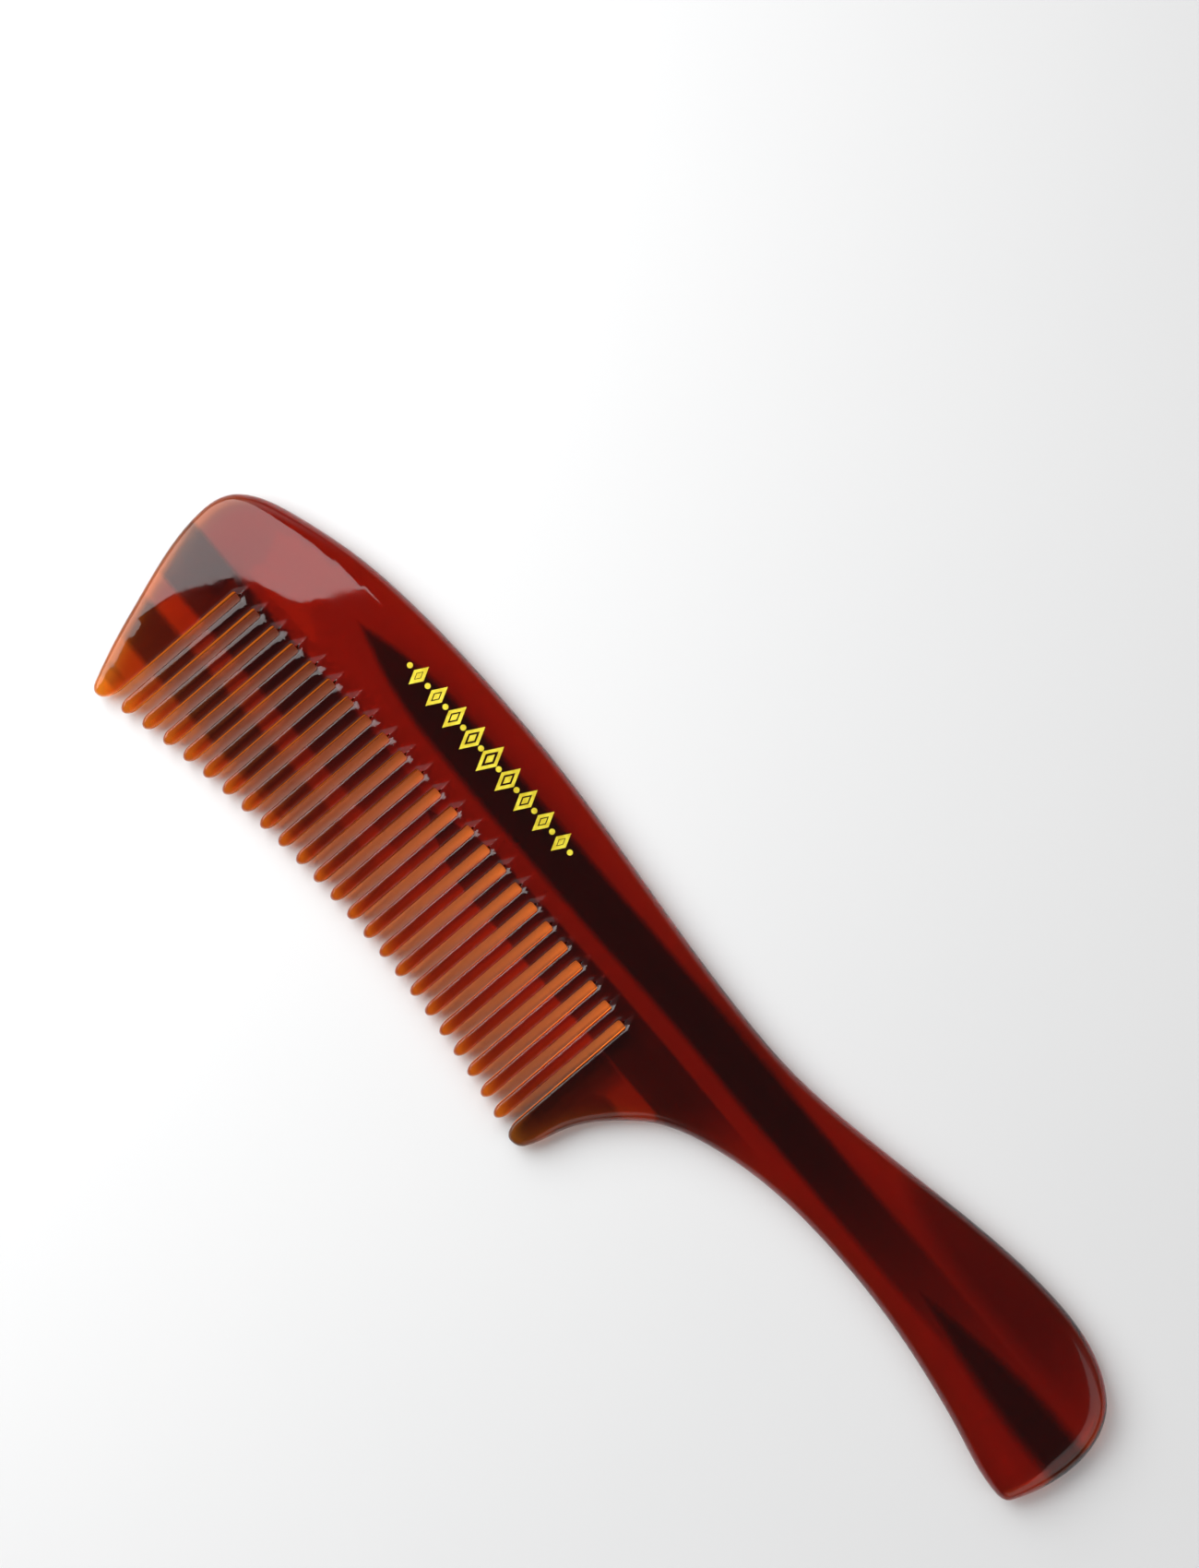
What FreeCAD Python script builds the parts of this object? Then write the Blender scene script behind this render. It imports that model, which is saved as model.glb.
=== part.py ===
import FreeCAD, Part

import math
import os

Vector = FreeCAD.Vector

# A rake comb with a flared handle, saw-cut from one sheet of cellulose acetate.
# The comb is modelled as the sections that a maker would name: the spine, the handle, the two guard
# teeth and the twenty-three teeth between them. Neighbouring sections meet face to face. The gilt
# ornament stamped into the spine is two more nodes.
#
# Building frame, in millimetres: X runs from the head towards the handle, Y from the tooth tips
# towards the back edge, and Z up. Zero is the tip of the front guard tooth, on the underside.
# Each finished section is moved so that zero is under the middle of the whole comb.

# ---- Sheet and edges ----
sheet_thickness = 4.6
mid_height = sheet_thickness / 2
edge_radius = 2.2                 # rounding of the back, the handle and the outer edges
edge_tail = 4.5                   # how far the blank runs on past each guard tip before trimming

# ---- Plan outline, clockwise from the front guard tip ----
# Each knot is X, Y and the heading of the edge there, in degrees from +X.
outline_knots = [
    (-1.1, 1.0, 116),             # front edge, just above the guard tip
    (-5.4, 11.4, 109),
    (-10.1, 30.0, 90),            # foremost point of the head
    (-8.3, 35.1, 47),
    (-0.4, 39.4, 19),
    (14.6, 43.2, 8),
    (45.3, 44.9, 0),              # crown of the back
    (77.8, 42.9, -5),
    (104.1, 41.5, 0),             # dip of the back at the neck
    (131.5, 45.3, 11),
    (161.3, 49.4, 0),             # crown of the handle
    (175.2, 45.8, -34),
    (179.9, 35.3, -90),           # handle end
    (177.6, 25.3, -114),
    (175.3, 24.2, -180),          # lower corner of the handle end
    (162.7, 26.4, -191),
    (136.7, 29.2, -180),          # finger hollow under the handle
    (112.5, 26.4, -163),
    (99.5, 19.5, -132),
    (93.8, 11.2, -111),
    (91.7, 4.7, -119),            # outer edge of the heel, just above its tip
]
overall_left = -10.1
overall_right = 179.9
overall_bottom = 0.0
overall_top = 49.4

# ---- Teeth ----
tooth_count = 23
first_tooth_x = 4.85              # centre line of the first tooth
front_pitch = 3.76                # spacing of the teeth at the head
rear_pitch = 3.57                 # spacing of the teeth at the heel
kerf = 1.65                       # width of every saw cut
kerf_corner = 0.3                 # radius in the two corners at the end of a cut
bullet_length = 1.8               # length of the rounded end of a tooth, seen from above

tip_crown = (52.6, 6.8)           # highest point of the arc through the tooth tips
tip_arc_radius = 207.0
root_crown = (53.5, 29.1)         # highest point of the arc through the ends of the saw cuts
root_arc_radius = 335.0

# ---- Taper of the toothed side ----
taper_start_y = 29.5              # the faces are flat above this line and taper below it
taper_end_y = 3.0
taper_end_half = 1.15             # half of the thickness at taper_end_y
taper_fold_x = 100.0              # behind this line the taper fades out into the neck
taper_fade = (132.0, 23.5)        # where the faded edge of the taper leaves the comb

# ---- Bevels along the saw cuts ----
bevel = 0.4                       # width of the bevel on each tooth edge
groove_depth = kerf / 2 + bevel   # a 45 degree V groove, so its depth is half its width
run_out = 2.5                     # how far a groove runs past the end of its saw cut

# ---- Thinned front edge of the head ----
# Half of the thickness at three distances behind the front edge. The face is an arc through them.
head_profile = [(-3.0, 0.79), (5.0, 1.84), (13.0, 2.326)]
head_edge_knot = 1                # the knot whose heading the thinned edge follows

# ---- Where the sections meet ----
front_guard_joint_y = 24.6
heel_joint_y = 26.6
tooth_joint_setback = 0.4         # each tooth starts this far below the nearer saw cut's end
handle_joint_x = 108.0

# ---- Guard tooth tips ----
front_tip = (0.2, 0.0)            # lowest point of the front guard tooth
front_tip_shoulder_y = 3.4        # where its inner side starts to round
front_tip_exit = (-2.6, 1.1, -210)  # the rounding leaves the blank here
heel_tip = (89.7, 3.65)
heel_tip_shoulder_y = 6.4
heel_tip_exit = (93.0, 5.0, 35)

# ---- Gilt ornament ----
ornament_centre = (45.2, 37.8)
ornament_pitch = 4.0              # from one lozenge to the next
lozenges_each_side = 4
lozenge_width = 2.95
lozenge_height = 5.5
lozenge_shrink = 0.07             # each lozenge is this much smaller than the centre one, per step out
lozenge_line = 0.50               # width of the gilt line around a lozenge
lozenge_heart = 0.36              # size of the solid lozenge inside, as a share of the outer one
dot_radius = 0.45
foil_depth = 0.10                 # how deep the ornament is pressed in
foil_proud = 0.02                 # how far it stands above the face

reach = 240.0                     # longer than the comb, for cutting shapes
clearance = 1.0                   # how far a cutting shape stands out of the material


def tooth_x(number):
    """X of a tooth's centre line. Tooth 0 is the first, and halves fall in the saw cuts."""
    shortening = (front_pitch - rear_pitch) / (2 * (tooth_count - 1))
    return first_tooth_x + front_pitch * number - shortening * number ** 2


def arc_y(crown, radius, x):
    """Y of a downward arc of that radius at x. Its highest point is the crown."""
    return crown[1] - radius + math.sqrt(radius ** 2 - (x - crown[0]) ** 2)


def cut_x(number):
    """X of a saw cut's centre line. Cut 0 is between the front guard and the first tooth."""
    return tooth_x(number - 0.5)


def cut_end_y(number):
    return arc_y(root_crown, root_arc_radius, cut_x(number))


def half_thickness(y):
    """Half of the comb's thickness on the tapered, toothed side."""
    slope = (mid_height - taper_end_half) / (taper_start_y - taper_end_y)
    return mid_height - slope * (taper_start_y - y)


def heading_vector(degrees):
    angle = math.radians(degrees)
    return Vector(math.cos(angle), math.sin(angle), 0)


def knot_edge(first, second):
    """A smooth edge from one knot to the next, as close to an arc as their headings allow."""
    start = Vector(first[0], first[1], 0)
    end = Vector(second[0], second[1], 0)
    turn = math.radians(second[2] - first[2])
    arm = start.distanceToPoint(end) / (3 * math.cos(turn / 4) ** 2)
    curve = Part.BezierCurve()
    curve.setPoles([
        start,
        start + heading_vector(first[2]) * arm,
        end - heading_vector(second[2]) * arm,
        end,
    ])
    return curve.toShape()


def line(start, end):
    return Part.makeLine(Vector(*start), Vector(*end))


def prism(edges, bottom=0.0, top=sheet_thickness):
    """A solid standing on a closed plan outline, from one height to another."""
    face = Part.Face(Part.Wire(Part.__sortEdges__(edges)))
    solid = face.extrude(Vector(0, 0, top - bottom))
    solid.translate(Vector(0, 0, bottom))
    return solid


def block(low, high):
    size = Vector(*high) - Vector(*low)
    return Part.makeBox(size.x, size.y, size.z, Vector(*low))


def polyhedron(faces):
    """A closed solid from flat faces, each a list of points."""
    shells = [Part.Face(Part.makePolygon(points + [points[0]])) for points in faces]
    return Part.Solid(Part.makeShell(shells))


def upside_down(shape):
    """The same shape on the other side of the comb's middle plane."""
    return shape.mirror(Vector(0, 0, mid_height), Vector(0, 0, 1))


def rounded_blank():
    """The whole sheet outline with its long edges rounded and a straight lower side."""
    first = outline_knots[0]
    last = outline_knots[-1]
    start = Vector(first[0], first[1], 0) - heading_vector(first[2]) * edge_tail
    end = Vector(last[0], last[1], 0) + heading_vector(last[2]) * edge_tail
    edges = [line((start.x, start.y, 0), (first[0], first[1], 0))]
    for knot, following in zip(outline_knots, outline_knots[1:]):
        edges.append(knot_edge(knot, following))
    edges.append(line((last[0], last[1], 0), (end.x, end.y, 0)))
    edges.append(line((end.x, end.y, 0), (start.x, start.y, 0)))
    slab = prism(edges)
    lower_side_y = max(start.y, end.y) + Part.Precision.confusion()
    long_edges = []
    for edge in slab.Edges:
        box = edge.BoundBox
        lies_flat = box.ZLength < Part.Precision.confusion()
        if lies_flat and box.YMax > lower_side_y:
            long_edges.append(edge)
    return slab.makeFillet(edge_radius, long_edges)


def taper_cutter():
    """What is cut off the upper face to taper the toothed side. It fades out at the neck."""
    low_y = -2 * edge_tail
    low_z = mid_height + half_thickness(low_y)
    above = sheet_thickness + clearance
    corners = [
        (overall_left - clearance, taper_start_y, sheet_thickness),
        (taper_fold_x, taper_start_y, sheet_thickness),
        (taper_fade[0], taper_fade[1], sheet_thickness),
        (taper_fold_x, low_y, low_z),
        (overall_left - clearance, low_y, low_z),
    ]
    under = [Vector(*corner) for corner in corners]
    over = [Vector(x, y, above) for x, y, z in corners]
    faces = [[under[0], under[1], under[3], under[4]], [under[1], under[2], under[3]], over]
    for index in range(len(corners)):
        following = (index + 1) % len(corners)
        faces.append([under[index], under[following], over[following], over[index]])
    return polyhedron(faces)


def head_cutter():
    """What is cut off the upper face to thin the head towards its front edge."""
    knot = outline_knots[head_edge_knot]
    along = heading_vector(knot[2])
    inward = Vector(along.y, -along.x, 0)
    foot = Vector(knot[0], knot[1], 0) - along * (reach / 2)

    def place(distance, height):
        return foot + inward * distance + Vector(0, 0, height)

    arc_points = [place(distance, mid_height + half) for distance, half in head_profile]
    top_front = place(head_profile[0][0], sheet_thickness + clearance)
    top_rear = place(head_profile[-1][0], sheet_thickness + clearance)
    profile = Part.Wire([
        Part.Arc(*arc_points).toShape(),
        Part.makeLine(arc_points[-1], top_rear),
        Part.makeLine(top_rear, top_front),
        Part.makeLine(top_front, arc_points[0]),
    ])
    return Part.Face(profile).extrude(along * reach)


def shaped_blank():
    """The blank after its faces are tapered, before any saw cut."""
    blank = rounded_blank()
    for cutter in (taper_cutter(), head_cutter()):
        blank = blank.cut([cutter, upside_down(cutter)])
    return blank


def saw_cut(number):
    """The slot between two teeth, open at the tooth tips."""
    left = cut_x(number) - kerf / 2
    right = cut_x(number) + kerf / 2
    end = cut_end_y(number)
    low = -2 * edge_tail
    corner = kerf_corner
    bulge = corner * (1 - math.sqrt(0.5))
    left_corner = Part.Arc(
        Vector(left, end - corner, 0),
        Vector(left + bulge, end - bulge, 0),
        Vector(left + corner, end, 0),
    ).toShape()
    right_corner = Part.Arc(
        Vector(right - corner, end, 0),
        Vector(right - bulge, end - bulge, 0),
        Vector(right, end - corner, 0),
    ).toShape()
    edges = [
        line((left, low, 0), (left, end - corner, 0)),
        left_corner,
        line((left + corner, end, 0), (right - corner, end, 0)),
        right_corner,
        line((right, end - corner, 0), (right, low, 0)),
        line((right, low, 0), (left, low, 0)),
    ]
    return prism(edges, -clearance, sheet_thickness + clearance)


def bevel_groove(number):
    """The V groove that bevels the upper edges of one saw cut and runs out past its end."""
    x = cut_x(number)
    low = -2 * edge_tail
    end = cut_end_y(number)
    top = sheet_thickness + clearance
    bottom_low = mid_height + half_thickness(low) - groove_depth
    bottom_end = mid_height + half_thickness(end) - groove_depth
    climb = (sheet_thickness - bottom_end) / run_out
    apex = Vector(x, end + (top - bottom_end) / climb, top)

    def section(y, bottom):
        half_width = top - bottom
        return Vector(x - half_width, y, top), Vector(x + half_width, y, top), Vector(x, y, bottom)

    left_low, right_low, floor_low = section(low, bottom_low)
    left_end, right_end, floor_end = section(end, bottom_end)
    return polyhedron([
        [left_low, right_low, floor_low],
        [left_low, floor_low, floor_end, left_end],
        [right_low, right_end, floor_end, floor_low],
        [left_end, floor_end, apex],
        [right_end, apex, floor_end],
        [left_low, left_end, apex, right_end, right_low],
    ])


def cut_tools(first, last):
    """Every saw cut and bevel groove from one number to another, both included."""
    tools = []
    for number in range(first, last + 1):
        groove = bevel_groove(number)
        tools += [saw_cut(number), groove, upside_down(groove)]
    return tools


def tapered_bar(left, right, tip_y, root_y):
    """A bar with the comb's taper and a round nose at tip_y, seen from the side."""
    nose_half = half_thickness(tip_y + taper_end_half)
    nose_y = tip_y + nose_half
    nose_high = Vector(left, nose_y, mid_height + nose_half)
    nose_low = Vector(left, nose_y, mid_height - nose_half)
    root_high = Vector(left, root_y, mid_height + half_thickness(root_y))
    root_low = Vector(left, root_y, mid_height - half_thickness(root_y))
    profile = Part.Wire([
        Part.Arc(nose_low, Vector(left, tip_y, mid_height), nose_high).toShape(),
        Part.makeLine(nose_high, root_high),
        Part.makeLine(root_high, root_low),
        Part.makeLine(root_low, nose_low),
    ])
    return Part.Face(profile).extrude(Vector(right - left, 0, 0))


def tooth_joint_y(number):
    return min(cut_end_y(number), cut_end_y(number + 1)) - tooth_joint_setback


def tooth(number):
    """One tooth: tapered seen from the side, bullet-ended seen from above, bevelled on its edges."""
    left = cut_x(number) + kerf / 2
    right = cut_x(number + 1) - kerf / 2
    centre = (left + right) / 2
    tip = arc_y(tip_crown, tip_arc_radius, centre)
    root = tooth_joint_y(number)
    shoulder = tip + bullet_length
    ellipse = Part.Ellipse(
        Vector(centre, tip, 0),
        Vector(right, shoulder, 0),
        Vector(centre, shoulder, 0),
    )
    bullet = Part.Arc(ellipse, -math.pi / 2, math.pi / 2).toShape()
    edges = [
        bullet,
        line((left, shoulder, 0), (left, root, 0)),
        line((left, root, 0), (right, root, 0)),
        line((right, root, 0), (right, shoulder, 0)),
    ]
    bar = tapered_bar(left, right, tip, root)
    body = bar.common(prism(edges))
    grooves = [bevel_groove(number), bevel_groove(number + 1)]
    return body.cut(grooves + [upside_down(groove) for groove in grooves])


def front_guard_trim():
    """Plan shape that gives the front guard tooth its inner side and its rounded tip."""
    inner = cut_x(0) - kerf / 2
    far_left = overall_left - clearance
    lowest = (front_tip[0], front_tip[1], -180)
    edges = [
        line((inner, front_guard_joint_y, 0), (inner, front_tip_shoulder_y, 0)),
        knot_edge((inner, front_tip_shoulder_y, -90), lowest),
        knot_edge(lowest, front_tip_exit),
        line((front_tip_exit[0], front_tip_exit[1], 0), (far_left, front_tip_exit[1], 0)),
        line((far_left, front_tip_exit[1], 0), (far_left, front_guard_joint_y, 0)),
        line((far_left, front_guard_joint_y, 0), (inner, front_guard_joint_y, 0)),
    ]
    return prism(edges, -clearance, sheet_thickness + clearance)


def heel_guard_trim():
    """Plan shape that gives the heel guard tooth its inner side and its rounded tip."""
    inner = cut_x(tooth_count) + kerf / 2
    lowest = (heel_tip[0], heel_tip[1], 0)
    edges = [
        line((inner, heel_joint_y, 0), (inner, heel_tip_shoulder_y, 0)),
        knot_edge((inner, heel_tip_shoulder_y, -90), lowest),
        knot_edge(lowest, heel_tip_exit),
        line((heel_tip_exit[0], heel_tip_exit[1], 0), (handle_joint_x, heel_tip_exit[1], 0)),
        line((handle_joint_x, heel_tip_exit[1], 0), (handle_joint_x, heel_joint_y, 0)),
        line((handle_joint_x, heel_joint_y, 0), (inner, heel_joint_y, 0)),
    ]
    return prism(edges, -clearance, sheet_thickness + clearance)


def guard_nose(left, right, tip_y):
    """Seen from the side, the round-nosed taper that a guard tooth is trimmed to."""
    return tapered_bar(left, right, tip_y, taper_start_y)


def front_guard_tooth(blank):
    body = blank.common(front_guard_trim())
    body = body.common(guard_nose(overall_left - clearance, tooth_x(0), front_tip[1]))
    groove = bevel_groove(0)
    return body.cut([groove, upside_down(groove)])


def heel_guard_tooth(blank):
    body = blank.common(heel_guard_trim())
    groove = bevel_groove(tooth_count)
    body = body.cut([groove, upside_down(groove)])
    nose = guard_nose(cut_x(tooth_count), taper_fold_x, heel_tip[1])
    rear = block((taper_fold_x, -clearance, -clearance), (reach, reach, reach))
    return body.common(nose.fuse(rear)).removeSplitter()


def handle(blank):
    return blank.common(block((handle_joint_x, -reach, -reach), (reach, reach, reach)))


def spine(blank):
    """Everything above the teeth and in front of the handle, with the ends of the saw cuts."""
    high = sheet_thickness + clearance
    zones = [
        block((-reach, -reach, -clearance), (cut_x(0), front_guard_joint_y, high)),
        block((cut_x(tooth_count), -reach, -clearance), (reach, heel_joint_y, high)),
        block((handle_joint_x, -reach, -clearance), (reach, reach, high)),
    ]
    for number in range(tooth_count):
        left = cut_x(number)
        right = cut_x(number + 1)
        zones.append(block((left, -reach, -clearance), (right, tooth_joint_y(number), high)))
    body = blank.cut(zones)
    body = body.cut(cut_tools(0, tooth_count))
    return body.cut(lozenge_solids() + dot_solids())


def lozenge_prism(x, width, height):
    y = ornament_centre[1]
    corners = [(x - width / 2, y), (x, y + height / 2), (x + width / 2, y), (x, y - height / 2)]
    edges = []
    for index, corner in enumerate(corners):
        following = corners[(index + 1) % len(corners)]
        edges.append(line((corner[0], corner[1], 0), (following[0], following[1], 0)))
    return prism(edges, sheet_thickness - foil_depth, sheet_thickness + foil_proud)


def lozenge_solids():
    """A row of outlined lozenges, each with a small solid lozenge at its heart."""
    solids = []
    for step in range(-lozenges_each_side, lozenges_each_side + 1):
        size = 1 - lozenge_shrink * abs(step)
        width = lozenge_width * size
        height = lozenge_height * size
        x = ornament_centre[0] + step * ornament_pitch
        inset = lozenge_line * math.hypot(width, height)
        inner_width = width - 2 * inset / height
        inner_height = height - 2 * inset / width
        outer = lozenge_prism(x, width, height)
        solids.append(outer.cut(lozenge_prism(x, inner_width, inner_height)))
        solids.append(lozenge_prism(x, width * lozenge_heart, height * lozenge_heart))
    return solids


def dot_solids():
    """A dot in each gap of the row of lozenges, and one past each end."""
    solids = []
    for step in range(-lozenges_each_side - 1, lozenges_each_side + 1):
        x = ornament_centre[0] + (step + 0.5) * ornament_pitch
        base = Vector(x, ornament_centre[1], sheet_thickness - foil_depth)
        solids.append(Part.makeCylinder(dot_radius, foil_depth + foil_proud, base))
    return solids


def export(shape, name):
    """Writes one node, moved so that zero is under the middle of the whole comb."""
    centre_x = (overall_left + overall_right) / 2
    centre_y = (overall_bottom + overall_top) / 2
    placed = shape.copy()
    placed.translate(Vector(-centre_x, -centre_y, 0))
    placed.exportStep(os.path.join("parts", name + ".step"))


def only_solid(shape):
    """The single solid that a cut left, so that each section is exported as one body."""
    if len(shape.Solids) != 1:
        raise ValueError("a section came out as %d solids" % len(shape.Solids))
    return shape.Solids[0]


os.makedirs("parts", exist_ok=True)

whole = shaped_blank()
export(only_solid(spine(whole)), "spine")
export(only_solid(handle(whole)), "handle")
export(only_solid(front_guard_tooth(whole)), "front_guard_tooth")
export(only_solid(heel_guard_tooth(whole)), "heel_guard_tooth")
for index in range(tooth_count):
    export(only_solid(tooth(index)), "tooth_%02d" % (index + 1))
export(Part.makeCompound(lozenge_solids()), "gilt_lozenges")
export(Part.makeCompound(dot_solids()), "gilt_dots")
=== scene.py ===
import bpy
import math
from collections import namedtuple
from mathutils import Matrix, Vector
from mathutils.geometry import delaunay_2d_cdt
from mathutils.kdtree import KDTree


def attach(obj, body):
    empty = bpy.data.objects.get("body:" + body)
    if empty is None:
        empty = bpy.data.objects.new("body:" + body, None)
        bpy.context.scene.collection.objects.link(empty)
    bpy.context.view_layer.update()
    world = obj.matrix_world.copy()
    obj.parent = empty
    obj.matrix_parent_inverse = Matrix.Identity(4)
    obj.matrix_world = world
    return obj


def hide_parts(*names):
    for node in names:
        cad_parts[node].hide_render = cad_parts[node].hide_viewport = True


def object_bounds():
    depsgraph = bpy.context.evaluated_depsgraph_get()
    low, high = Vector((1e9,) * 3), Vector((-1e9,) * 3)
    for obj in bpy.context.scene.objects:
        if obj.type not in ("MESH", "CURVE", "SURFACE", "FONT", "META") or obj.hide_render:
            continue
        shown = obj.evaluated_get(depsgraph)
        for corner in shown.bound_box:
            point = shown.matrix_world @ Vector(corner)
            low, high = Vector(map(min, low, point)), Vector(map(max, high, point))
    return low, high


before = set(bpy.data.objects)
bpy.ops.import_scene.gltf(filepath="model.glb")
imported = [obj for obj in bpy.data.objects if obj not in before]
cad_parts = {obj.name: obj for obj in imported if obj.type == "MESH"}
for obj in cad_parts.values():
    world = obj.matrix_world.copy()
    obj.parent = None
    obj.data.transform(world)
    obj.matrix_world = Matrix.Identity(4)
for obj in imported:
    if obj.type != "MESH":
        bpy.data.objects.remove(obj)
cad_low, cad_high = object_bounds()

# A rake comb of tortoiseshell acetate, lying on a pale table.
# The acetate is one piece in the real comb, so one seamless mesh stands for all its CAD sections:
# light then passes through it with no joint showing. The gilt ornament keeps its CAD nodes.
#
# Plan sizes are in millimetres in the building frame of the CAD source: X from the head to the
# handle, Y from the tooth tips to the back, and zero at the tip of the front guard tooth.

# ---- Plan outline, clockwise from the front guard tip ----
# Each knot is X, Y, the heading of the edge in degrees from +X, and the width of its rounding.
# Apart from the widths and the last knot, these come from a least-squares fit to points that were
# traced from the photo. They are rounded to 0.1 mm and 1 degree, and the handle end is 0.1 mm less.
outline_knots = [
    (-1.1, 1.0, 116, 0.8),
    (-5.4, 11.4, 109, 1.1),
    (-10.1, 30.0, 90, 1.2),
    (-8.3, 35.1, 47, 1.5),
    (-0.4, 39.4, 19, 2.1),
    (14.6, 43.2, 8, 2.4),
    (45.3, 44.9, 0, 2.5),
    (77.8, 42.9, -5, 2.5),
    (104.1, 41.5, 0, 2.5),
    (131.5, 45.3, 11, 2.6),
    (161.3, 49.4, 0, 2.8),
    (175.2, 45.8, -34, 3.2),
    (179.9, 35.3, -90, 3.4),
    (177.6, 25.3, -114, 1.6),
    (175.3, 24.2, -180, 1.5),
    (162.7, 26.4, -191, 2.4),
    (136.7, 29.2, -180, 2.4),
    (112.5, 26.4, -163, 2.3),
    (99.5, 19.5, -132, 2.0),
    (93.8, 11.2, -111, 1.5),
    (91.7, 4.7, -119, 0.8),
    (89.7, 3.65, -180, 0.7),
]
guard_tip = (0.2, 0.0)
guard_shoulder_y = 3.4            # where the guard's inner side starts to round
heel_shoulder_y = 6.4
first_outline_x = -10.1           # foremost point of the outline
first_outline_y = 0.0

# ---- Sheet ----
mid_height = 2.3                  # half of the sheet's thickness
rim_wall = 0.05                   # half height of the straight band left on a rounded edge
taper_start_y = 29.5              # the faces taper from here down to the tooth tips
taper_slope = 1.15 / 26.5
taper_blend = 1.2                 # the taper starts over this length
taper_fold_x = 100.0              # behind this the taper fades out
taper_fade = 6.0 / 32.0
head_reach = 15.0                 # how far behind the front edge the head is thinned
head_front_half = 1.35            # half of the thickness at that edge

# ---- Teeth ----
tooth_count = 23
first_tooth_x = 4.85
front_pitch = 3.76
rear_pitch = 3.57
kerf = 1.65
kerf_corner = 0.3
bullet_length = 1.8
tip_crown = (52.6, 6.8)
tip_arc_radius = 207.0
root_crown = (53.5, 29.1)
root_arc_radius = 335.0
bevel = 0.34
run_out = 2.3                     # how far the pocket at a cut's end runs past it
pocket_slope = 0.62
nose_width = 0.95                 # how far the nose rounding reaches back from a tooth's tip

# ---- Mesh fineness ----
edge_rings = 8                    # rows of faces across a rounded edge
outline_step = 1.2
wall_step = 1.05
face_step = 1.2
crease_step = 0.6
tip_steps = 14
turn_step = 7                     # degrees that the outline turns between stations
scatter_gap = 0.62                # least gap between points of a face, in face steps
crease_halvings = 24              # how often the search for the crease halves its range
plan_tolerance = 1e-7
smooth_angle = math.radians(30)

METRES = 0.001
origin_x = first_outline_x - cad_low.x / METRES
origin_y = first_outline_y - cad_low.y / METRES

Station = namedtuple("Station", "outer inner wall flat")


def tooth_x(number):
    shortening = (front_pitch - rear_pitch) / (2 * (tooth_count - 1))
    return first_tooth_x + front_pitch * number - shortening * number ** 2


def cut_x(number):
    return tooth_x(number - 0.5)


def arc_y(crown, radius, x):
    return crown[1] - radius + math.sqrt(radius ** 2 - (x - crown[0]) ** 2)


def cut_end_y(number):
    return arc_y(root_crown, root_arc_radius, cut_x(number))


def heading_vector(degrees):
    angle = math.radians(degrees)
    return Vector((math.cos(angle), math.sin(angle)))


def right_of(direction):
    """The side that the comb lies on, going clockwise round its outline."""
    return Vector((direction.y, -direction.x))


# ---- Thickness ----

head_line_point = Vector(outline_knots[1][:2])
head_line_inward = right_of(heading_vector(outline_knots[1][2]))


def tapered_half(x, y):
    """Half of the thickness on the toothed side."""
    below = taper_start_y - y - taper_fade * max(0.0, x - taper_fold_x)
    return mid_height - taper_slope * (below + math.hypot(below, taper_blend)) / 2


def head_half(x, y):
    """Half of the thickness of the head, which thins towards its front edge."""
    behind = (Vector((x, y)) - head_line_point).dot(head_line_inward)
    short = max(0.0, head_reach - behind)
    return mid_height - (mid_height - head_front_half) * (short / head_reach) ** 2


def face_half(point):
    return min(tapered_half(point.x, point.y), head_half(point.x, point.y))


# ---- Stations round the outline ----

def rim_station(point, direction, width, wall_share):
    """A rounded edge. A wall share of 1 leaves a straight wall under a small rounding."""
    inner = point + right_of(direction) * width
    highest = face_half(inner) - width
    wall = max(rim_wall, rim_wall + wall_share * (highest - rim_wall))
    return Station(point, inner, wall, 0.0)


def knot_run(first, second):
    """Stations from one knot up to the next, which is left out. A fifth value is the wall share."""
    start = Vector(first[:2])
    end = Vector(second[:2])
    turn = math.radians(second[2] - first[2])
    chord = (end - start).length
    arm = chord / (3 * math.cos(turn / 4) ** 2)
    poles = [
        start,
        start + heading_vector(first[2]) * arm,
        end - heading_vector(second[2]) * arm,
        end,
    ]
    steps = max(math.ceil(chord / outline_step), math.ceil(abs(math.degrees(turn)) / turn_step))
    stations = []
    for step in range(steps):
        t = step / steps
        u = 1 - t
        point = (poles[0] * u ** 3 + poles[1] * 3 * u * u * t
                 + poles[2] * 3 * u * t * t + poles[3] * t ** 3)
        direction = ((poles[1] - poles[0]) * u * u + (poles[2] - poles[1]) * 2 * u * t
                     + (poles[3] - poles[2]) * t * t).normalized()
        ease = t * t * (3 - 2 * t)
        width = first[3] + (second[3] - first[3]) * ease
        wall_share = first[4] + (second[4] - first[4]) * ease
        stations.append(rim_station(point, direction, width, wall_share))
    return stations


def knot_runs(knots):
    stations = []
    for first, second in zip(knots, knots[1:]):
        stations += knot_run(first, second)
    return stations


def slot_wall(x, y_from, y_to):
    """The bevelled side of a saw cut, with both ends left out."""
    direction = Vector((0, math.copysign(1, y_to - y_from)))
    steps = math.ceil(abs(y_to - y_from) / wall_step)
    stations = []
    for step in range(1, steps):
        y = y_from + (y_to - y_from) * step / steps
        stations.append(rim_station(Vector((x, y)), direction, bevel, 1.0))
    return stations


def pocket_depth(across):
    """Depth of the pocket at a cut's end, at a distance from the cut's middle."""
    return pocket_slope * (kerf / 2 + bevel - across)


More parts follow.
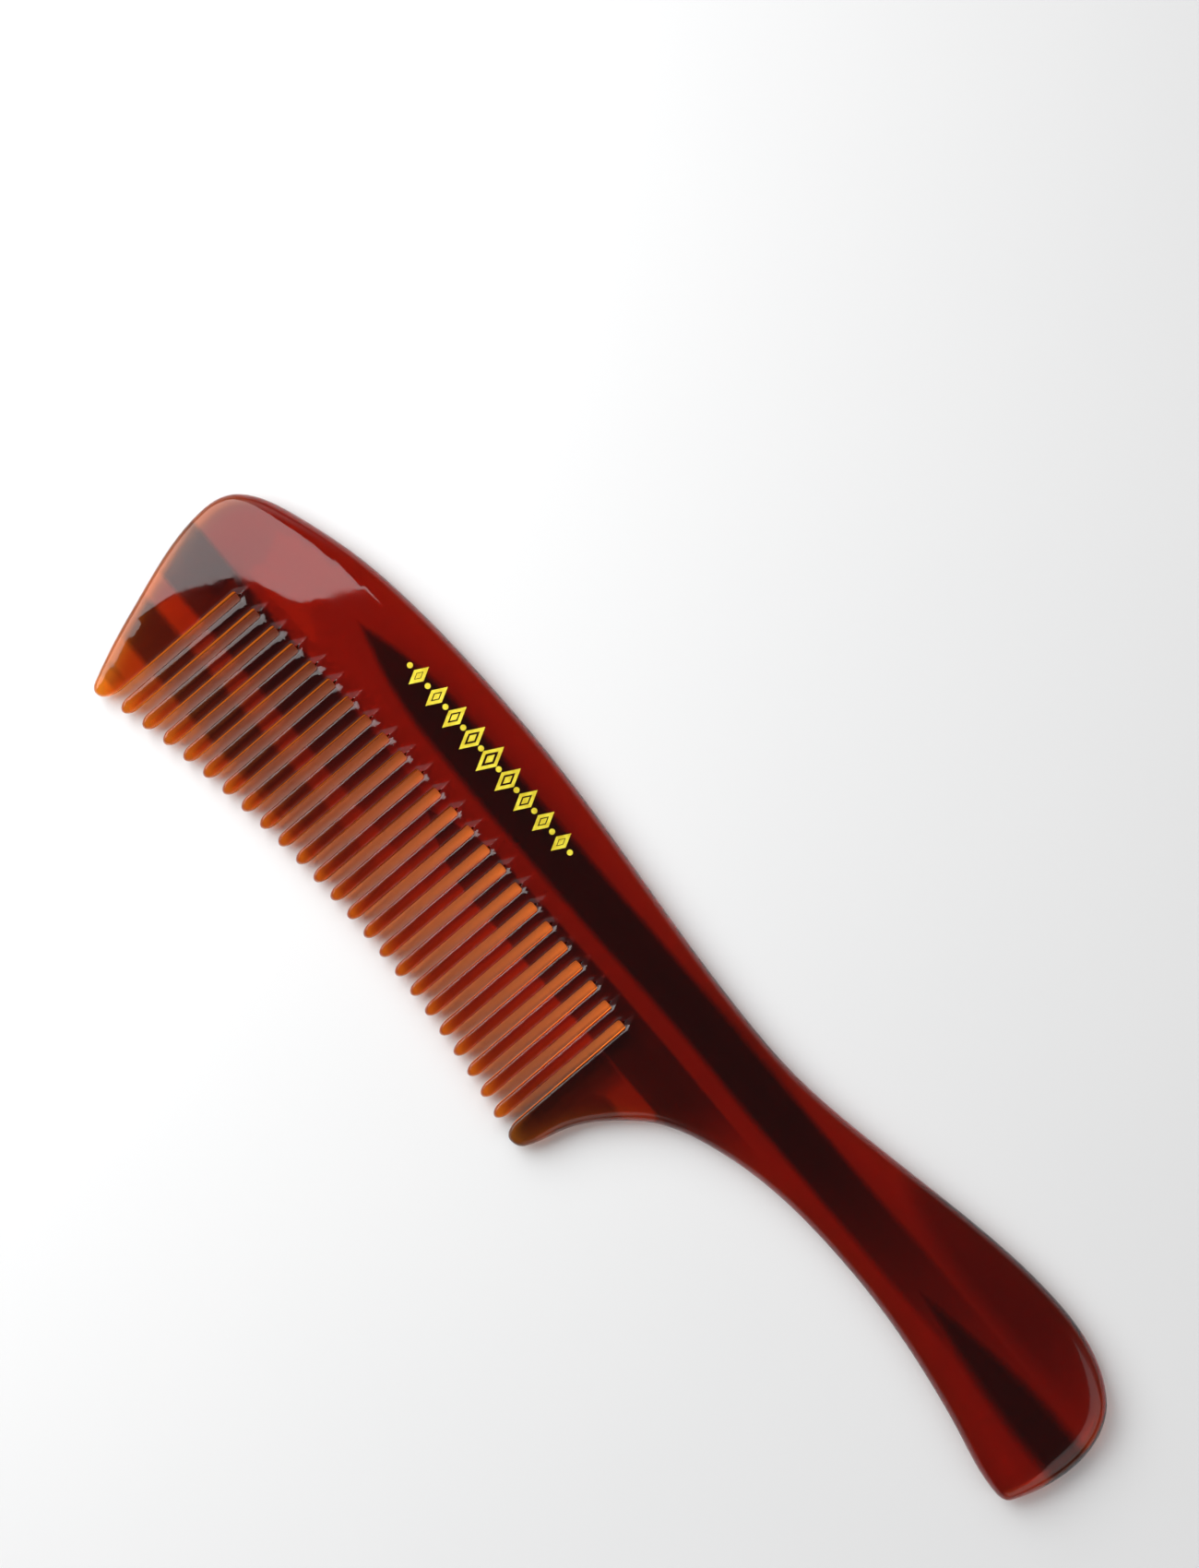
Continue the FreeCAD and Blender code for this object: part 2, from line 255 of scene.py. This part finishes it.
def root_half(number, side):
    """Half of a saw cut's end, from its corner to its middle, on the side +1 or -1."""
    x = cut_x(number)
    end = cut_end_y(number)
    half_kerf = kerf / 2
    corner = Vector((x + side * (half_kerf + bevel), end))
    apex = Vector((x, end + run_out))
    stations = []
    for share in (0.0, 0.5, 1.0):
        angle = share * math.pi / 2
        across = half_kerf - kerf_corner + kerf_corner * math.cos(angle)
        outer = Vector((x + side * across, end - kerf_corner + kerf_corner * math.sin(angle)))
        inner = corner - Vector((0, kerf_corner * (1 - share)))
        depth = bevel + share * (pocket_depth(across) - bevel)
        wall = face_half(inner) - depth
        stations.append(Station(outer, inner, wall, share))
    flat_half = half_kerf - kerf_corner
    for share in (1 / 3, 2 / 3):
        across = flat_half * (1 - share)
        outer = Vector((x + side * across, end))
        wall = face_half(outer) - pocket_depth(across)
        stations.append(Station(outer, corner.lerp(apex, share), wall, 1.0))
    return stations


def root_end(number):
    """The end of a saw cut, from right to left, with the pocket where its bevels run out."""
    x = cut_x(number)
    middle = Vector((x, cut_end_y(number)))
    apex = middle + Vector((0, run_out))
    wall = face_half(middle) - pocket_depth(0.0)
    valley = Station(middle, apex, wall, 1.0)
    return root_half(number, 1) + [valley] + root_half(number, -1)[::-1]


def tooth_tip(left, right):
    """Round the bullet end of a tooth, from its right side to its left, and where that end starts."""
    centre = (left + right) / 2
    half_width = (right - left) / 2
    shoulder = arc_y(tip_crown, tip_arc_radius, centre) + bullet_length
    stations = []
    for step in range(tip_steps + 1):
        across = math.cos(math.pi * step / tip_steps)
        down = math.sin(math.pi * step / tip_steps)
        outer = Vector((centre + half_width * across, shoulder - bullet_length * down))
        inner = Vector((centre + (half_width - bevel) * across,
                        shoulder - (bullet_length - nose_width) * down))
        high = face_half(inner) - bevel
        wall = high + (rim_wall - high) * down ** 2
        stations.append(Station(outer, inner, wall, 0.0))
    return stations, shoulder


def tooth_outline(index):
    """Down a tooth's right side, round its tip and up its left side."""
    left = cut_x(index) + kerf / 2
    right = cut_x(index + 1) - kerf / 2
    tip, shoulder = tooth_tip(left, right)
    down = slot_wall(right, cut_end_y(index + 1) - kerf_corner, shoulder)
    up = slot_wall(left, shoulder, cut_end_y(index) - kerf_corner)
    return down + tip + up


def comb_stations():
    """Every station round the comb, clockwise from the front guard's tip."""
    heel_x = cut_x(tooth_count) + kerf / 2
    guard_x = cut_x(0) - kerf / 2
    knots = [knot + (0.0,) for knot in outline_knots]
    knots.append((heel_x, heel_shoulder_y, -270, bevel, 1.0))
    stations = knot_runs(knots)
    stations.append(rim_station(Vector((heel_x, heel_shoulder_y)), Vector((0, 1)), bevel, 1.0))
    stations += slot_wall(heel_x, heel_shoulder_y, cut_end_y(tooth_count) - kerf_corner)
    for number in range(tooth_count, 0, -1):
        stations += root_end(number)
        stations += tooth_outline(number - 1)
    stations += root_end(0)
    stations += slot_wall(guard_x, cut_end_y(0) - kerf_corner, guard_shoulder_y)
    closing = outline_knots[0]
    stations += knot_runs([
        (guard_x, guard_shoulder_y, -90, bevel, 1.0),
        guard_tip + (-180, 0.7, 0.0),
        closing[:2] + (closing[2] - 360, closing[3], 0.0),
    ])
    return stations


# ---- Faces ----

def crease_points():
    """Where the thinned head meets the tapered side, from the guard tip up to the flat face."""
    points = []
    steps = math.ceil(taper_start_y / crease_step)
    for step in range(steps):
        y = step * crease_step
        low = outline_knots[2][0]
        high = low + 2 * head_reach
        for _ in range(crease_halvings):
            middle = (low + high) / 2
            if head_half(middle, y) < tapered_half(middle, y):
                low = middle
            else:
                high = middle
        points.append(Vector((low, y)))
    return points


def row_spans(loop, y):
    """The stretches of a horizontal line that lie inside a closed loop."""
    crossings = []
    for first, second in zip(loop, loop[1:] + loop[:1]):
        if (first.y > y) != (second.y > y):
            crossings.append(first.x + (second.x - first.x) * (y - first.y) / (second.y - first.y))
    crossings.sort()
    return zip(crossings[::2], crossings[1::2])


def inside(loop, point):
    return any(low < point.x < high for low, high in row_spans(loop, point.y))


def near_tree(points):
    tree = KDTree(len(points))
    for index, point in enumerate(points):
        tree.insert(point.to_3d(), index)
    tree.balance()
    return tree


def inner_points(loop):
    """Points on the crease, and an even scatter of points over the rest of the face."""
    boundary = near_tree(loop)
    crease = []
    for point in crease_points():
        if inside(loop, point) and boundary.find(point.to_3d())[2] > crease_step / 2:
            crease.append(point)
    taken = near_tree(loop + crease)
    scatter = []
    row_height = face_step * math.sqrt(3) / 2
    top = max(point.y for point in loop)
    rows = math.ceil(top / row_height)
    for row in range(rows):
        y = (row + 0.5) * row_height
        offset = face_step / 2 * (row % 2)
        for low, high in row_spans(loop, y):
            column = math.ceil((low - offset) / face_step)
            while column * face_step + offset < high:
                point = Vector((column * face_step + offset, y))
                if taken.find(point.to_3d())[2] > face_step * scatter_gap:
                    scatter.append(point)
                column += 1
    return crease, scatter


def to_metres(x, y, z):
    return ((x - origin_x) * METRES, (y - origin_y) * METRES, z * METRES)


def comb_mesh():
    """The closed mesh of the whole comb, and the edges along its crease."""
    stations = comb_stations()
    count = len(stations)
    loop = [station.inner for station in stations]
    crease, scatter = inner_points(loop)
    plan = loop + crease + scatter
    made = delaunay_2d_cdt(plan, [], [list(range(count))], 1, plan_tolerance)
    if len(made[0]) != len(plan):
        raise ValueError("the face's outline crosses itself")

    vertices = []
    faces = []
    creases = []
    for side in (1, -1):
        base = len(vertices)
        for ring in range(edge_rings + 1):
            angle = math.pi / 2 * ring / edge_rings
            inset = 1 - math.cos(angle)
            for station in stations:
                rise = math.sin(angle) + station.flat * (inset - math.sin(angle))
                point = station.outer.lerp(station.inner, inset)
                height = station.wall + (face_half(station.inner) - station.wall) * rise
                vertices.append(to_metres(point.x, point.y, mid_height + side * height))
        last_ring = base + edge_rings * count
        for point in crease + scatter:
            height = face_half(point)
            vertices.append(to_metres(point.x, point.y, mid_height + side * height))
        for ring in range(edge_rings):
            for index in range(count):
                following = (index + 1) % count
                lower = base + ring * count
                upper = lower + count
                quad = [lower + index, lower + following, upper + following, upper + index]
                faces.append(quad[::-side])
        for triangle in made[2]:
            corners = [last_ring + made[3][corner][0] for corner in triangle]
            faces.append(corners[::side])
        first = last_ring + count
        creases += [(first + index, first + index + 1) for index in range(len(crease) - 1)]
    under = (edge_rings + 1) * count + len(crease) + len(scatter)
    for index in range(count):
        following = (index + 1) % count
        faces.append([index, under + index, under + following, following])
    return vertices, faces, creases


def build_comb():
    vertices, faces, creases = comb_mesh()
    mesh = bpy.data.meshes.new("comb")
    mesh.from_pydata(vertices, [], faces)
    mesh.update()
    mesh.shade_smooth()
    mesh.set_sharp_from_angle(angle=smooth_angle)
    sharp = set(creases)
    marks = mesh.attributes["sharp_edge"].data
    for edge in mesh.edges:
        if tuple(sorted(edge.vertices)) in sharp:
            marks[edge.index].value = True
    comb = bpy.data.objects.new("comb", mesh)
    bpy.context.scene.collection.objects.link(comb)
    return comb


# ---- Node helpers ----

def add_node(tree, kind, inputs=None, **settings):
    """A node with its settings and inputs. An input that is a socket is linked."""
    made = tree.nodes.new(kind)
    for name, value in settings.items():
        setattr(made, name, value)
    for key, value in (inputs or {}).items():
        if isinstance(value, bpy.types.NodeSocket):
            tree.links.new(value, made.inputs[key])
        else:
            made.inputs[key].default_value = value
    return made


def arithmetic(tree, operation, first, second=0.0, third=0.0):
    made = add_node(tree, "ShaderNodeMath", {0: first, 1: second, 2: third}, operation=operation)
    return made.outputs[0]


def ease_between(tree, value, low, high, to_low=0.0, to_high=1.0):
    """Goes smoothly from one value to another while the input goes from low to high."""
    made = add_node(tree, "ShaderNodeMapRange", {
        "Value": value,
        "From Min": low,
        "From Max": high,
        "To Min": to_low,
        "To Max": to_high,
    }, interpolation_type="SMOOTHSTEP")
    return made.outputs["Result"]


def noise(tree, place, stretch, detail=2.0):
    """Noise from 0 to 1. Stretch is the size of its features along each axis."""
    scaled = add_node(tree, "ShaderNodeVectorMath", {
        0: place,
        1: tuple(1 / size for size in stretch),
    }, operation="MULTIPLY")
    made = add_node(tree, "ShaderNodeTexNoise", {
        "Vector": scaled.outputs[0],
        "Scale": 1.0,
        "Detail": detail,
    })
    return made.outputs["Fac"]


def new_material(name):
    material = bpy.data.materials.new(name)
    material.use_nodes = True
    tree = material.node_tree
    tree.nodes.clear()
    shader = add_node(tree, "ShaderNodeBsdfPrincipled")
    output = add_node(tree, "ShaderNodeOutputMaterial", {"Surface": shader.outputs[0]})
    return material, tree, shader, output


def place_in_millimetres(tree):
    """The place on the comb in the building frame, in millimetres."""
    coordinates = add_node(tree, "ShaderNodeTexCoord")
    scaled = add_node(tree, "ShaderNodeVectorMath", {
        0: coordinates.outputs["Object"],
        1: (1 / METRES, 1 / METRES, 1 / METRES),
        2: (origin_x, origin_y, 0.0),
    }, operation="MULTIPLY_ADD")
    return scaled.outputs[0]


# ---- Materials ----

# Dark streaks in the sheet. Each runs along X between its low and high edge in Y. It opens out from
# a point between start and full, and pales away between fading and end.
Streak = namedtuple("Streak", "low high start full fading end soft strength")
dark_streaks = [
    Streak(32.6, 39.4, 16, 36, 112, 180, 0.7, 1.0),
    Streak(31.8, 38.2, 138, 174, 190, 200, 1.2, 0.95),
    Streak(18.6, 27.2, -30, -20, 18, 64, 0.5, 0.85),
    Streak(22.4, 29.8, 44, 58, 100, 118, 0.3, 0.8),
    Streak(8.4, 15.0, -30, -20, 16, 60, 0.6, 0.85),
    Streak(2.4, 22.2, 86, 89, 91, 95, 0.6, 0.7),
    Streak(5.0, 18.4, 88, 94, 110, 120, 0.6, 0.6),
    Streak(40.5, 52.0, 122, 150, 158, 184, 2.0, 0.5),
    Streak(2.2, 4.6, -30, -20, 0.5, 3.0, 0.5, 0.6),
]
streak_drift = 1.5                # how far the edges of the streaks wander
front_rim = (0.2, 1.9)            # the front edge is clear up to here and streaked from here on
head_offset = head_line_point.dot(head_line_inward)

clear_amber = (0.97, 0.54, 0.19, 1)
red_brown = (0.76, 0.46, 0.36, 1)
near_black = (0.21, 0.14, 0.16, 1)
amber_tip = (1.5, 5.5)            # the acetate is clear up to here above the tips, then streaked
streaked_heel = (86.5, 89.5)      # over this stretch of X the heel guard turns streaked to its tip
heel_cover = 0.9                  # how fully it does

acetate_ior = 1.48
depth_colour = (0.965, 0.73, 0.05, 1)
depth_density = 1400.0            # per metre
mirror_level = 0.5
streak_grain = (38.0, 9.0, 30.0)
polish_grain = (3.0, 3.0, 3.0)
polish = (0.012, 0.035)
wave_grain = (2.4, 1.6, 2.0)
wave_height = 0.0000025           # metres
noise_middle = (0.3, 0.7)         # the part of a noise's range that is used

# The walls of the saw cuts are opaque, painted with light and shade and a painted glow: orange where
# they face the head, near black where they face the handle. They stand for the light that a real sheet
# carries to its cuts, and are tuned to the photo's lighting, so they don't follow other light.
wall_upright = (0.1, 0.35)        # a full wall below the first Z of its normal, none above the last
walls_end_y = (29.5, 31.0)        # the walls stop past the ends of the cuts,
walls_heel_x = (88.2, 88.8)       # before the outer edge of the heel guard
walls_guard_x = (1.5, 2.0)        # and behind that of the front guard
turn_blend = (-0.5, 0.5)          # the X of the normal, from facing the head to facing the handle
painted_shade_wall = (0.06, 0.02, 0.01, 1)  # painted shade on a wall that faces the handle
painted_light_low_wall = (0.50, 0.13, 0.03, 1)   # painted light on the low part of a wall that faces the head, and a dimmer painted light on the high part
painted_light_high_wall = (0.30, 0.05, 0.01, 1)
wall_split = (1.6, 3.0)           # the heights between those two parts
painted_glow_colour = (1.0, 0.22, 0.02, 1)
painted_low_glow = (0.10, 2.1)            # painted glow low on walls that face the head: near the head, and behind it
painted_high_glow = 0.50                  # painted glow high on walls that face the handle, near the head only
glow_split = (1.0, 2.3)           # the heights between low and high
glow_shift = (12.0, 60.0)         # the places between near the head and behind it


def streak_depth(tree, x, y, streak):
    """How dark a streak is at a place, from 0 to its strength."""
    middle = (streak.low + streak.high) / 2
    half = (streak.high - streak.low) / 2
    growth = ease_between(tree, x, streak.start, streak.full)
    spread = arithmetic(tree, "SQRT", growth)
    reach = arithmetic(tree, "MULTIPLY_ADD", spread, half + streak.soft, -streak.soft)
    away = arithmetic(tree, "ABSOLUTE", arithmetic(tree, "SUBTRACT", y, middle))
    outside = arithmetic(tree, "SUBTRACT", away, reach)
    cover = ease_between(tree, outside, -streak.soft, streak.soft, 1.0, 0.0)
    fade = ease_between(tree, x, streak.fading, streak.end, streak.strength, 0.0)
    return arithmetic(tree, "MULTIPLY", cover, fade)


def mixed(tree, factor, first, second):
    """A colour between two, each a colour or a socket."""
    made = add_node(tree, "ShaderNodeMix", {0: factor, 6: first, 7: second}, data_type="RGBA")
    return made.outputs[2]


def above_tips(tree, x, y):
    """How far a place is above the arc through the tooth tips, in millimetres."""
    across = arithmetic(tree, "SUBTRACT", x, tip_crown[0])
    square = arithmetic(tree, "MULTIPLY", across, across)
    drop = arithmetic(tree, "MULTIPLY", square, 1 / (2 * tip_arc_radius))
    return arithmetic(tree, "SUBTRACT", arithmetic(tree, "ADD", y, drop), tip_crown[1])


def cut_walls(tree, axes, normal):
    """1 on the walls of the saw cuts, and 0 elsewhere."""
    upright = arithmetic(tree, "ABSOLUTE", normal.outputs["Z"])
    wall = ease_between(tree, upright, *wall_upright, 1.0, 0.0)
    for part in (
        ease_between(tree, axes.outputs["Y"], *walls_end_y, 1.0, 0.0),
        ease_between(tree, axes.outputs["X"], *walls_heel_x, 1.0, 0.0),
        ease_between(tree, axes.outputs["X"], *walls_guard_x),
    ):
        wall = arithmetic(tree, "MULTIPLY", wall, part)
    return wall


def face_colour(tree, place, axes):
    """Amber, red-brown and near-black, as the streaks, tips and front edge have it."""
    x = axes.outputs["X"]
    drift = arithmetic(tree, "SUBTRACT", noise(tree, place, streak_grain), 0.5)
    y = arithmetic(tree, "MULTIPLY_ADD", drift, streak_drift, axes.outputs["Y"])
    dark = None
    for streak in dark_streaks:
        depth = streak_depth(tree, x, y, streak)
        dark = depth if dark is None else arithmetic(tree, "MAXIMUM", dark, depth)
    streaked = mixed(tree, dark, red_brown, near_black)
    cover = ease_between(tree, above_tips(tree, x, y), *amber_tip)
    cover = arithmetic(tree, "MAXIMUM", cover, dark)
    heel = ease_between(tree, x, *streaked_heel, 0.0, heel_cover)
    cover = arithmetic(tree, "MAXIMUM", cover, heel)
    colour = mixed(tree, cover, clear_amber, streaked)
    behind = arithmetic(tree, "MULTIPLY_ADD", x, head_line_inward.x, -head_offset)
    behind = arithmetic(tree, "MULTIPLY_ADD", y, head_line_inward.y, behind)
    return mixed(tree, ease_between(tree, behind, *front_rim), clear_amber, colour)


# Painted light and shade on a cut's wall: near black where it faces the handle, orange low and darker
# red high where it faces the head.
def painted_wall_shading(tree, axes, facing_head):
    high = ease_between(tree, axes.outputs["Z"], *wall_split)
    return mixed(tree, facing_head, painted_shade_wall, mixed(tree, high, painted_light_low_wall, painted_light_high_wall))


def painted_wall_glow(tree, axes, facing_head):
    """How strongly a cut's wall glows with painted light."""
    height = ease_between(tree, axes.outputs["Z"], *glow_split)
    rearward = ease_between(tree, axes.outputs["X"], *glow_shift)
    low = arithmetic(tree, "MULTIPLY_ADD", rearward, painted_low_glow[1] - painted_low_glow[0], painted_low_glow[0])
    low = arithmetic(tree, "MULTIPLY", low, arithmetic(tree, "SUBTRACT", 1.0, height))
    high = arithmetic(tree, "MULTIPLY_ADD", rearward, -painted_high_glow, painted_high_glow)
    high = arithmetic(tree, "MULTIPLY", high, height)
    return add_node(tree, "ShaderNodeMix", {0: facing_head, 2: high, 3: low}).outputs[0]


def acetate():
    """Tortoiseshell acetate: amber in depth, with red-brown and near-black streaks, and painted light,
    painted shade and a painted glow on the walls of its saw cuts.
    """
    material, tree, shader, output = new_material("tortoiseshell_acetate")
    place = place_in_millimetres(tree)
    axes = add_node(tree, "ShaderNodeSeparateXYZ", {0: place})
    geometry = add_node(tree, "ShaderNodeNewGeometry")
    normal = add_node(tree, "ShaderNodeSeparateXYZ", {0: geometry.outputs["Normal"]})
    wall = cut_walls(tree, axes, normal)
    # Which way a wall faces picks its painted light or its painted shade.
    facing_head = ease_between(tree, normal.outputs["X"], *turn_blend, 1.0, 0.0)
    colour = mixed(tree, wall, face_colour(tree, place, axes), painted_wall_shading(tree, axes, facing_head))
    # The cut walls glow with painted light, through emission.
    glow = arithmetic(tree, "MULTIPLY", wall, painted_wall_glow(tree, axes, facing_head))
    rough = noise(tree, place, polish_grain, 3.0)
    waves = noise(tree, place, wave_grain, 1.0)
    bump = add_node(tree, "ShaderNodeBump", {"Height": waves, "Strength": 1.0, "Distance": wave_height})
    for name, value in {
        "Base Color": colour,
        "Roughness": ease_between(tree, rough, *noise_middle, *polish),
        "Normal": bump.outputs[0],
        "Transmission Weight": arithmetic(tree, "SUBTRACT", 1.0, wall),
        "Specular IOR Level": arithmetic(tree, "MULTIPLY_ADD", wall, -mirror_level, mirror_level),
        "Emission Strength": glow,
    }.items():
        tree.links.new(value, shader.inputs[name])
    shader.inputs["IOR"].default_value = acetate_ior
    shader.inputs["Emission Color"].default_value = painted_glow_colour
    volume = add_node(tree, "ShaderNodeVolumeAbsorption")
    volume.inputs["Color"].default_value = depth_colour
    volume.inputs["Density"].default_value = depth_density
    tree.links.new(volume.outputs[0], output.inputs["Volume"])
    return material


# The gilt and the table. A grain is its size in millimetres and its strength.
grain_height = 0.00001            # metres
gilt_cloud = (1.2, 1.2, 1.2)
gilt_stops = [(0.35, (0.86, 0.66, 0.03, 1)), (0.65, (0.98, 0.84, 0.06, 1))]
gilt_roughness = (0.30, 0.48)
gilt_metallic = 0.35
gilt_grain = (0.12, 0.4)
table_cloud = (60.0, 60.0, 60.0)
table_stops = [(0.0, (0.885, 0.888, 0.892, 1)), (1.0, (0.905, 0.905, 0.905, 1))]
table_roughness = (0.75, 0.85)
table_grain = (0.5, 0.1)


def cloudy(tree, shader, cloud, stops, roughness):
    """An opaque surface whose colour and roughness follow a noise."""
    ramp = add_node(tree, "ShaderNodeValToRGB", {"Fac": cloud})
    for element, (position, colour) in zip(ramp.color_ramp.elements, stops):
        element.position = position
        element.color = colour
    tree.links.new(ramp.outputs["Color"], shader.inputs["Base Color"])
    tree.links.new(ease_between(tree, cloud, *noise_middle, *roughness), shader.inputs["Roughness"])


def grainy(tree, shader, place, size, strength):
    """A fine grain in the surface."""
    grain = noise(tree, place, (size, size, size))
    bump = add_node(tree, "ShaderNodeBump", {
        "Height": grain,
        "Strength": strength,
        "Distance": grain_height,
    })
    tree.links.new(bump.outputs[0], shader.inputs["Normal"])


def gilt():
    """Hot-stamped gold foil, with a slightly uneven colour and grain."""
    material, tree, shader, _ = new_material("gilt_foil")
    place = place_in_millimetres(tree)
    cloudy(tree, shader, noise(tree, place, gilt_cloud, 3.0), gilt_stops, gilt_roughness)
    grainy(tree, shader, place, *gilt_grain)
    shader.inputs["Metallic"].default_value = gilt_metallic
    return material


def paper():
    """The pale table, very slightly uneven."""
    material, tree, shader, _ = new_material("pale_table")
    place = place_in_millimetres(tree)
    cloudy(tree, shader, noise(tree, place, table_cloud), table_stops, table_roughness)
    grainy(tree, shader, place, *table_grain)
    shader.inputs["Specular IOR Level"].default_value = 0.0
    return material


# ---- The comb ----

gilt_nodes = ["gilt_lozenges", "gilt_dots"]
acetate_nodes = [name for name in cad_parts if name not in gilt_nodes]

comb = build_comb()
comb.data.materials.append(acetate())
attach(comb, "root")
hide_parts(*acetate_nodes)

gilt_material = gilt()
for name in gilt_nodes:
    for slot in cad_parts[name].material_slots:
        slot.link = "OBJECT"
        slot.material = gilt_material

# ---- Table, light and camera ----

table_half = 3.0
table_gap = 0.00002               # the comb rests on the table without sharing its plane
table_mesh = bpy.data.meshes.new("table")
table_mesh.from_pydata(
    [(-table_half, -table_half, -table_gap), (table_half, -table_half, -table_gap),
     (table_half, table_half, -table_gap), (-table_half, table_half, -table_gap)],
    [], [(0, 1, 2, 3)])
table = bpy.data.objects.new("table", table_mesh)
table.data.materials.append(paper())
bpy.context.scene.collection.objects.link(table)


def softbox(name, place, turn, size, power):
    """A soft rectangular light. Sizes are in metres."""
    data = bpy.data.lights.new(name, "AREA")
    data.shape = "RECTANGLE"
    data.size, data.size_y = size
    data.energy = power
    light = bpy.data.objects.new(name, data)
    light.location = place
    light.rotation_euler = turn
    light.visible_camera = False
    bpy.context.scene.collection.objects.link(light)


# The head softbox starts almost overhead, where the flat faces mirror it near the head, and comes
# down on the head's side. Its near edge runs at this heading.
softbox_corner = Vector((-0.097, 0.020, 0.32))
softbox_heading = math.radians(245)
softbox_drop = math.radians(16)   # how steeply it comes down from its near edge
softbox_size = (0.50, 0.50)       # along its near edge, and away from it
softbox_power = 2.8
along = Vector((math.cos(softbox_heading), math.sin(softbox_heading), 0))
away = Vector((math.sin(softbox_heading) * math.cos(softbox_drop),
               -math.cos(softbox_heading) * math.cos(softbox_drop),
               -math.sin(softbox_drop)))
softbox_centre = softbox_corner + along * softbox_size[0] / 2 + away * softbox_size[1] / 2
softbox_turn = Matrix((along, -away, away.cross(along))).transposed().to_euler()
softbox("head_softbox", softbox_centre, softbox_turn, softbox_size, softbox_power)

fill_place = Vector((0.50, 0.0, 0.42))
fill_aim = Vector((0.05, 0.0, 0))
fill_size = (1.0, 0.5)
fill_power = 1.0
fill_turn = (fill_aim - fill_place).to_track_quat("-Z", "Y").to_euler()
softbox("handle_fill", fill_place, fill_turn, fill_size, fill_power)

# The surroundings glow on the head's side and, less, on the handle's side, above a pale horizon.
# Each is where the change starts and ends, along X or Z, and the strengths there.
head_side = (-0.5, -0.25, 1.2, 0.0)
handle_side = (0.25, 0.5, 0.0, 0.25)
sides_start = (0.3, 0.5)          # the sides only glow above this height
horizon = (0.04, 0.2, 0.7, 0.10)
world = bpy.data.worlds.new("studio")
world.use_nodes = True
bpy.context.scene.world = world
sky = world.node_tree
sky.nodes.clear()
direction = add_node(sky, "ShaderNodeTexCoord")
axes = add_node(sky, "ShaderNodeSeparateXYZ", {0: direction.outputs["Generated"]})
forward = ease_between(sky, axes.outputs["X"], *head_side)
rearward = ease_between(sky, axes.outputs["X"], *handle_side)
raised = ease_between(sky, axes.outputs["Z"], *sides_start)
level = ease_between(sky, axes.outputs["Z"], *horizon)
sides = arithmetic(sky, "ADD", forward, rearward)
glow = arithmetic(sky, "MULTIPLY_ADD", sides, raised, level)
backdrop = add_node(sky, "ShaderNodeBackground", {"Color": (1, 1, 1, 1), "Strength": glow})
add_node(sky, "ShaderNodeOutputWorld", {"Surface": backdrop.outputs[0]})

camera_over = (58.4, 47.6)        # the point straight under the camera
camera_height = 450.0             # above the comb's upper face, in millimetres
view_height = 229.2               # what the picture spans there, from bottom to top
camera_turn = 49.5                # degrees
sensor = 36.0

camera_data = bpy.data.cameras.new("camera")
camera_data.sensor_width = sensor
camera_data.lens = sensor * camera_height / view_height
camera_data.clip_start = 0.01
camera_data.clip_end = 20.0
camera = bpy.data.objects.new("camera", camera_data)
camera.location = to_metres(*camera_over, camera_height + 2 * mid_height)
camera.rotation_euler = (0.0, 0.0, math.radians(camera_turn))
bpy.context.scene.collection.objects.link(camera)
bpy.context.scene.camera = camera
bpy.context.scene.view_settings.view_transform = "Standard"
